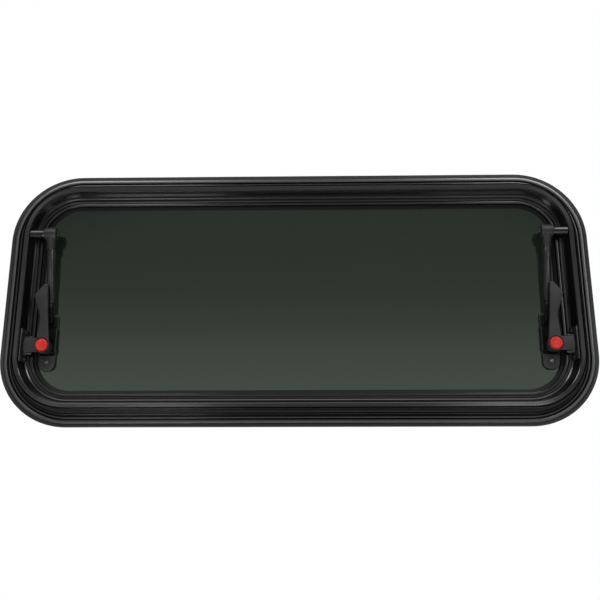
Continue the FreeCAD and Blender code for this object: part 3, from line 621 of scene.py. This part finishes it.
def cross_head(shape, place, radius, low, high, width):
    """Domed screw head with a cross recess, its arms as wide as twice the width."""
    rows = 14
    tall = high - low
    loops = [[place @ Vector((x, z, low)) for x, z in disc(edge, FINE_STEPS)]
             for edge in (0.0, radius)]
    for row in range(rows + 1):
        reach = radius * (1 - row / rows)
        dome = high - 0.22 * tall * (reach / radius) ** 2
        if row == 0:
            dome = high - 0.45 * tall
        loop = []
        for x, z in disc(reach, FINE_STEPS):
            inside = min(abs(x), abs(z)) < width and reach < radius * 0.68
            sink = 0.55 * tall * (1 - 0.5 * reach / radius) if inside else 0.0
            loop.append(place @ Vector((x, z, dome - sink)))
        loops.append(loop)
    shape.bridge(loops, caps=False)


def rectangle(sign, one, two, top, bottom, upper, lower, steps=4):
    """Rectangle from x one to two, rounded by upper at its top and by lower at its bottom."""
    return soften([(one * sign, top, upper), (two * sign, top, upper),
                   (two * sign, bottom, lower), (one * sign, bottom, lower)], steps)


BASE_INNER = -14.5
BASE_OUTER = 8.7
BASE_TOP = 46.6
BASE_ROUND = 11.5
SCREW_DROP = -20.6
SCREW_ASIDE = 2.9
BASE_BOTTOM = SCREW_DROP - 11.6


def base(side, sign):
    """Plate on the pane with the lever's boss, a recess that holds bars, and its screw."""
    centre = facing(LATCH_X * sign, LATCH_Z)
    line = soften([
        (BASE_OUTER * sign, BASE_TOP, 3.0), (BASE_INNER * sign, BASE_TOP, 5.0),
        (BASE_INNER * sign, BASE_BOTTOM, BASE_ROUND), (BASE_OUTER * sign, BASE_BOTTOM, BASE_ROUND),
    ], 16)
    shape = Shape()
    shape.slab(line, -7.6, -6.6, centre, rim=0.4)
    foot = rectangle(sign, BASE_OUTER, BASE_INNER, -11.0, BASE_BOTTOM, 2.0, BASE_ROUND, 16)
    shape.slab(foot, -7.0, -3.1, centre, rim=1.1)
    for edge, step in ((BASE_INNER, 1.3), (BASE_OUTER, -1.3)):
        wall = rectangle(sign, edge, edge + step, 44.0, -12.5, 0.5, 0.5)
        shape.slab(wall, -7.0, -4.4, centre, rim=0.5)
    shape.lathe([(0.0, -3.4, 0.0), (9.0, -3.4, 0.4), (9.0, 0.0, 0.8), (0.0, 0.0, 0.0)], centre)
    rib = rectangle(sign, BASE_INNER, BASE_INNER + 1.5, 26.0, -6.0, 0.7, 0.7)
    shape.slab(rib, -7.0, -0.6, centre, rim=0.7)
    seat = facing((LATCH_X - SCREW_ASIDE) * sign, LATCH_Z + SCREW_DROP)
    shape.lathe([
        (0.0, -3.5, 0.0), (4.2, -3.5, 0.0), (4.3, -1.9, 0.2), (5.7, -1.9, 0.5), (6.0, -3.3, 0.0),
        (0.0, -3.45, 0.0),
    ], seat)
    shape.piece("base_" + side, "window", "black_plastic", PLASTIC, ["latch_base_" + side])

    # The recess takes the darker plastic as painted shade
    well = Shape()
    inside = rectangle(sign, BASE_OUTER - 1.2, BASE_INNER + 1.2, 43.0, -11.6, 1.0, 1.0)
    well.slab(inside, -6.8, -6.1, centre, rim=0.3)
    for height in (-6.0, 12.0, 30.0):
        bar = rectangle(sign, BASE_OUTER - 1.4, BASE_INNER + 1.4,
                        height + 0.7, height - 0.7, 0.3, 0.3)
        well.slab(bar, -6.4, -5.0, centre, rim=0.3)
    well.piece("base_well_" + side, "window", "black_plastic", MATT_PAINTED_SHADE, ["latch_base_" + side])

    screw = Shape()
    cross_head(screw, seat, 3.1, -3.5, -1.6, 0.5)
    screw.piece("base_screw_" + side + "_skin", "window", "screw_steel", BOLT,
                ["base_screw_" + side])


# The catch and the section of the keeper are given as insets from the window's outline
KEEPER_RISE = 0.6
KEEPER_HALF = 22.0
CATCH_REACH = 45.5
CATCH_ROOT = 34.2
# The keeper's plate leans by LEAN_RUN over LEAN_RISE, from LEAN_INSET at a height of LEAN_HEIGHT
LEAN_INSET = 34.85
LEAN_HEIGHT = 6.5
LEAN_RUN = 2.2
LEAN_RISE = 5.3
KEEPER_SCREW_HEIGHT = 4.2
KEEPER_SCREW_SPREAD = 17.8
KEEPER_SECTION = (
    (30.55, -15.0, 0.3), (31.95, -11.5, 0.6), (33.45, -6.5, 0.6), (35.85, -1.2, 0.3),
    (37.05, -1.2, 0.3), (LEAN_INSET, -LEAN_HEIGHT, 0.6), (33.35, -11.5, 0.6), (31.95, -15.0, 0.6),
)


def keeper(side, sign):
    """Bent plate on the jamb with the catch behind the lever's tongue, and its two screws."""
    middle = LATCH_Z + KEEPER_RISE
    section = soften([((HALF_WIDTH - inset) * sign, y, radius)
                      for inset, y, radius in KEEPER_SECTION])
    plate = Shape()
    plate.slab(section, middle - KEEPER_HALF, middle + KEEPER_HALF, Matrix.Identity(4),
               rim=0.3, foot=0.3)
    # The plate takes the paler copy of the black steel as a painted highlight
    plate.piece("keeper_" + side + "_skin", "window", "black_steel", PLATE_HIGHLIGHT_STEEL, ["keeper_" + side])

    root = (HALF_WIDTH - CATCH_ROOT) * sign
    end = (HALF_WIDTH - CATCH_REACH) * sign
    line = soften([(root, LATCH_Z + 12.6, 0.3), (end, LATCH_Z + 12.6, 2.0),
                   (end, LATCH_Z - 12.4, 2.0), (root, LATCH_Z - 12.4, 0.3)])
    catch = Shape()
    catch.slab(line, 7.3, 8.8, FACING_ROOM, rim=0.4, foot=0.4)
    catch.piece("keeper_tongue_" + side, "window", "black_steel", STEEL, ["keeper_" + side])

    reach = LEAN_INSET + LEAN_RUN * ((LEAN_HEIGHT - KEEPER_SCREW_HEIGHT) / LEAN_RISE)
    for name, step in (("upper", 1), ("lower", -1)):
        place = place_at((HALF_WIDTH - reach) * sign, -KEEPER_SCREW_HEIGHT,
                         middle + KEEPER_SCREW_SPREAD * step, (-LEAN_RISE * sign, -LEAN_RUN, 0))
        screw = Shape()
        cross_head(screw, place, 2.4, 0.0, 1.2, 0.4)
        screw.piece(f"keeper_screw_{name}_{side}_skin", "window", "screw_steel", SCREW,
                    [f"keeper_screw_{name}_{side}"])


# Stays

KNUCKLE_HALF = 8.35
PIN_RADIUS = 6.3
JAMB_GAP = 0.3
COLLAR_START = 19.6
TUBE_START = 23.2
TUBE_RADIUS = 5.75
ROD_RADIUS = 2.2
TUBE_SHORT = 15.4
STAY_ASIDE = 3.5
FOOT_Y = 2.2
# Depth and inset of the jamb's section, from the rim outward
JAMB_WALL = [(-18.5, 30.1), (-15.4, 30.1), (-11.5, 31.6), (-6.5, 33.0), (-2.6, 34.6)]


def jamb_x(y, z):
    """Distance of the jamb from the middle at one depth and height."""
    inset = JAMB_WALL[-1][1]
    for (low, one), (high, two) in zip(JAMB_WALL, JAMB_WALL[1:]):
        if low <= y <= high:
            inset = one + (two - one) * (y - low) / (high - low)
    above = max(0.0, z - (HALF_HEIGHT - CORNER))
    return HALF_WIDTH - CORNER + math.sqrt((CORNER - inset) ** 2 - above ** 2)


def stay(side, sign):
    """Pin on the jamb and the telescopic stay from it down to its foot on the latch base."""
    outer = KNUCKLE_X + KNUCKLE_HALF
    loops = []
    for radius, step in ((0.0, 0.0), (5.7, 0.0), (6.1, 0.15), (PIN_RADIUS, 0.6), (PIN_RADIUS, 2.4),
                         (6.05, 2.6), (6.05, 3.1), (PIN_RADIUS, 3.3)):
        loops.append([((outer + step) * sign, -PIN_HEIGHT + a, PIN_Z + b) for a, b in disc(radius)])
    for radius in (PIN_RADIUS, 0.0):
        ends = [(-PIN_HEIGHT + a, PIN_Z + b) for a, b in disc(radius)]
        loops.append([((jamb_x(y, z) - JAMB_GAP) * sign, y, z) for y, z in ends])
    pin = Shape()
    pin.bridge(loops, caps=False)
    pin.piece("pin_" + side, "window", "black_steel", PIN, ["stay_pin_" + side])

    cap = Shape()
    cap.lathe([
        (0.0, 0.0, 0.0), (3.0, 0.0, 0.0), (3.0, 0.8, 0.1), (4.6, 0.8, 0.2), (4.6, 1.6, 0.3),
        (3.2, 1.6, 0.1), (2.4, 1.2, 0.1), (2.4, 2.6, 0.9), (0.0, 2.6, 0.0),
    ], place_at((KNUCKLE_X - KNUCKLE_HALF) * sign, -PIN_HEIGHT, PIN_Z, (-sign, 0, 0)))
    cap.piece("pin_cap_" + side + "_skin", "window", "screw_steel", SCREW, ["pin_cap_" + side])

    foot_x, foot_z = LATCH_X - STAY_ASIDE, LATCH_Z + BASE_TOP
    head = Vector((KNUCKLE_X * sign, -PIN_HEIGHT, PIN_Z))
    foot = Vector((foot_x * sign, FOOT_Y, foot_z))
    reach = (foot - head).length
    down = place_at(head.x, head.y, head.z, foot - head)
    eye = place_at(head.x, head.y, head.z, (1, 0, 0))

    knuckle = Shape()
    knuckle.lathe([(0.0, -KNUCKLE_HALF, 0.0), (9.0, -KNUCKLE_HALF, 1.3),
                   (9.0, KNUCKLE_HALF, 1.3), (0.0, KNUCKLE_HALF, 0.0)], eye)
    knuckle.lathe([
        (0.0, 0.0, 0.0), (8.0, 0.0, 0.0), (8.0, 7.6, 3.0), (6.4, 12.0, 4.0),
        (6.4, COLLAR_START, 0.4), (0.0, COLLAR_START, 0.0),
    ], down)
    knuckle.piece("knuckle_" + side, "window", "grey_plastic", GREY, ["stay_knuckle_" + side])

    collar = Shape()
    collar.lathe([
        (0.0, COLLAR_START, 0.0), (6.0, COLLAR_START, 0.0), (6.0, 20.3, 0.1), (6.5, 20.4, 0.2),
        (6.5, 21.4, 0.2), (6.0, 21.5, 0.1), (6.0, 22.0, 0.1), (6.5, 22.1, 0.2),
        (6.5, TUBE_START, 0.3), (0.0, TUBE_START, 0.0),
    ], down)
    collar.piece("collar_" + side, "window", "black_plastic", PLASTIC, ["tube_collar_" + side])

    end = reach - TUBE_SHORT
    tube = Shape()
    tube.lathe([
        (0.0, TUBE_START, 0.0), (TUBE_RADIUS, TUBE_START, 0.2), (TUBE_RADIUS, end - 2.1, 0.2),
        (5.25, end - 2.0, 0.1), (5.25, end - 1.6, 0.1), (TUBE_RADIUS, end - 1.5, 0.2),
        (TUBE_RADIUS, end, 0.7), (2.4, end, 0.2), (2.4, end - 6.0, 0.0), (0.0, end - 6.0, 0.0),
    ], down)
    tube.piece("tube_" + side, "window", "stay_aluminium", STAY, ["stay_tube_" + side])

    rod = Shape()
    rod.lathe([
        (0.0, end - 10.0, 0.0), (ROD_RADIUS, end - 10.0, 0.2), (ROD_RADIUS, reach - 3.0, 0.1),
        (1.9, reach - 2.8, 0.1), (1.9, reach - 2.3, 0.1), (ROD_RADIUS, reach - 2.1, 0.1),
        (ROD_RADIUS, reach - 0.5, 0.3), (0.0, reach - 0.5, 0.0),
    ], down, 32)
    rod.piece("rod_" + side, "window", "stay_aluminium", STAY, ["stay_rod_" + side])

    # The foot takes the darker plastic as painted shade
    block = Shape()
    corners = soften([(-4.5, 0.0, 1.8), (4.5, 0.0, 1.8), (4.5, -14.0, 1.2), (-4.5, -14.0, 1.2)])
    at_foot = facing(foot_x * sign, foot_z)
    block.slab(corners, -3.1, 2.4, at_foot, rim=1.2)
    eyelet = facing(foot_x * sign, foot_z - 8.6)
    block.lathe([(0.0, 1.6, 0.0), (2.6, 1.6, 0.0), (2.6, 2.4, 0.3), (0.0, 2.4, 0.0)], eyelet, 32)
    block.lathe([(0.0, reach - 10.0, 0.0), (3.0, reach - 10.0, 0.5), (3.0, reach - 1.0, 0.4),
                 (0.0, reach - 1.0, 0.0)], down, 32)
    block.piece("foot_" + side, "window", "black_plastic", MATT_PAINTED_SHADE, ["stay_foot_" + side])


frame_rings()
hinge()
for side_name, side_sign in SIDES.items():
    lever(side_name, side_sign)
    base(side_name, side_sign)
    keeper(side_name, side_sign)
    stay(side_name, side_sign)

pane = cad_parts["glass_pane"]
pane.data.materials.clear()
pane.data.materials.append(PANE)


# Studio

# Brightness of the surroundings by height angle in degrees: 0 is behind the camera, 90 straight up
ROOM = [
    (-180, 0.25), (-140, 0.25), (-95, 0.30), (-50, 0.35), (-20, 0.25), (-7, 0.45), (-1, 0.95),
    (4, 1.45), (9, 1.45), (12, 1.20), (14, 0.85), (17, 0.58), (24, 0.42), (36, 0.55), (50, 0.75),
    (75, 0.60), (95, 0.35), (120, 0.20), (140, 0.25), (180, 0.35),
]
CAMERA_PAN = 1.086
CAMERA_PITCH = 15.898
CAMERA_PLACE = (0.02327, -1.05496, CENTRE_Z / 1000 - 0.30654)
FLOOR_HALF = 12
FLOOR_Z = -0.75


def aim_camera():
    """Camera fitted to the rings of the frame: 15.9 degrees up, 1.1 degrees to the left."""
    pan = Matrix.Rotation(math.radians(CAMERA_PAN), 3, "Z")
    pitch = Matrix.Rotation(math.radians(CAMERA_PITCH), 3, "X")
    turn = pan @ pitch @ Matrix.Rotation(math.radians(90.0), 3, "X")
    data = bpy.data.cameras.new("camera")
    data.sensor_width = 36.0
    data.lens = 48.0
    camera = bpy.data.objects.new("camera", data)
    camera.matrix_world = Matrix.Translation(CAMERA_PLACE) @ turn.to_4x4()
    scene.collection.objects.link(camera)
    scene.camera = camera


def light_world():
    """White where the camera looks, and a studio that is graded by height elsewhere."""
    world = bpy.data.worlds.new("studio")
    scene.world = world
    world.use_nodes = True
    nodes = world.node_tree.nodes
    links = world.node_tree.links
    nodes.clear()
    place = nodes.new("ShaderNodeTexCoord")
    parts = nodes.new("ShaderNodeSeparateXYZ")
    links.new(place.outputs["Generated"], parts.inputs["Vector"])
    front = maths(nodes, links, "MULTIPLY", parts.outputs["Y"], -1.0)
    height = maths(nodes, links, "ARCTAN2", parts.outputs["Z"], front)
    room = nodes.new("ShaderNodeValToRGB")
    while len(room.color_ramp.elements) < len(ROOM):
        room.color_ramp.elements.new(0.5)
    for element, (angle, level) in zip(room.color_ramp.elements, ROOM):
        element.position = (angle + 180) / 360
        element.color = (level, level, level, 1.0)
    turned = ranged(nodes, links, height, 0.0, 1.0, -math.pi, math.pi)
    links.new(turned, room.inputs["Fac"])
    studio = nodes.new("ShaderNodeBackground")
    links.new(room.outputs["Color"], studio.inputs["Color"])
    # Rays that run to the side see a dimmer studio
    aside = maths(nodes, links, "ABSOLUTE", parts.outputs["X"])
    links.new(ranged(nodes, links, aside, 1.0, 0.45, 0.325, 0.352), studio.inputs["Strength"])
    white = nodes.new("ShaderNodeBackground")
    white.inputs["Color"].default_value = (1.0, 1.0, 1.0, 1.0)
    path = nodes.new("ShaderNodeLightPath")
    # Mirrored rays that run almost straight outward see the same white as the camera
    mirrored = maths(nodes, links, "ADD", path.outputs["Is Glossy Ray"],
                     path.outputs["Is Transmission Ray"])
    outward = ranged(nodes, links, parts.outputs["Y"], 0.0, 1.0, 0.88, 0.94)
    behind = maths(nodes, links, "MULTIPLY", mirrored, outward)
    shown = maths(nodes, links, "MAXIMUM", path.outputs["Is Camera Ray"], behind)
    mix = nodes.new("ShaderNodeMixShader")
    links.new(shown, mix.inputs["Fac"])
    links.new(studio.outputs["Background"], mix.inputs[1])
    links.new(white.outputs["Background"], mix.inputs[2])
    out = nodes.new("ShaderNodeOutputWorld")
    links.new(mix.outputs["Shader"], out.inputs["Surface"])


def softbox(name, place, target, width, height, power):
    """Rectangular lamp at one place that looks at a target, in metres and watts."""
    data = bpy.data.lights.new(name, "AREA")
    data.shape = "RECTANGLE"
    data.size = width
    data.size_y = height
    data.energy = power
    lamp = bpy.data.objects.new(name, data)
    lamp.location = place
    lamp.rotation_euler = (Vector(target) - Vector(place)).to_track_quat("-Z", "Y").to_euler()
    scene.collection.objects.link(lamp)


def lay_floor():
    """Pale studio floor well below the hanging window."""
    look, nodes, links, shader = new_look("floor")
    place = nodes.new("ShaderNodeTexCoord")
    cloud = noise(nodes, links, place.outputs["Object"], 2.0, 3.0)
    links.new(blended(nodes, links, cloud, (0.80, 0.80, 0.80), (0.86, 0.86, 0.86)),
              shader.inputs["Base Color"])
    shader.inputs["Roughness"].default_value = 0.9
    white = nodes.new("ShaderNodeEmission")
    white.inputs["Color"].default_value = (1.0, 1.0, 1.0, 1.0)
    path = nodes.new("ShaderNodeLightPath")
    mix = nodes.new("ShaderNodeMixShader")
    away = nodes.new("ShaderNodeVectorMath")
    away.operation = "LENGTH"
    links.new(place.outputs["Object"], away.inputs[0])
    fade = ranged(nodes, links, away.outputs["Value"], 0.75, 1.0, 1.0, 4.0)
    share = maths(nodes, links, "MULTIPLY", path.outputs["Is Camera Ray"], fade)
    links.new(share, mix.inputs["Fac"])
    links.new(shader.outputs["BSDF"], mix.inputs[1])
    links.new(white.outputs["Emission"], mix.inputs[2])
    links.new(mix.outputs["Shader"], nodes["Material Output"].inputs["Surface"])
    mesh = bpy.data.meshes.new("floor")
    corners = [(x * FLOOR_HALF, y * FLOOR_HALF, FLOOR_Z)
               for x, y in ((-1, -1), (1, -1), (1, 1), (-1, 1))]
    mesh.from_pydata(corners, [], [(0, 1, 2, 3)])
    mesh.materials.append(look)
    floor = bpy.data.objects.new("floor", mesh)
    scene.collection.objects.link(floor)


aim_camera()
light_world()
softbox("soft_left", (-0.62, -1.12, 1.16), (-0.1, 0.0, 0.16), 0.6, 0.42, 6.5)
softbox("soft_right", (0.74, -1.08, 1.14), (0.1, 0.0, 0.16), 0.55, 0.5, 8.0)
softbox("soft_top", (0.0, -0.55, 1.5), (0.0, 0.0, 0.16), 2.4, 0.4, 6.0)
softbox("soft_low", (0.0, -0.30, -0.66), (0.0, 0.0, 0.16), 2.0, 0.5, 2.0)
softbox("low_left", (-0.38, -0.58, -0.5), (-0.2, 0.0, 0.16), 0.3, 0.25, 3.5)
softbox("low_right", (0.48, -0.58, -0.5), (0.25, 0.0, 0.16), 0.3, 0.25, 1.2)
softbox("strip_right", (0.86, -1.05, 0.50), (0.0, 0.0, 0.20), 0.08, 0.5, 1.1)
softbox("soft_back", (0.0, 1.2, 1.75), (0.0, 0.0, 0.16), 1.6, 0.5, 16.0)
lay_floor()

scene.view_settings.view_transform = "Standard"
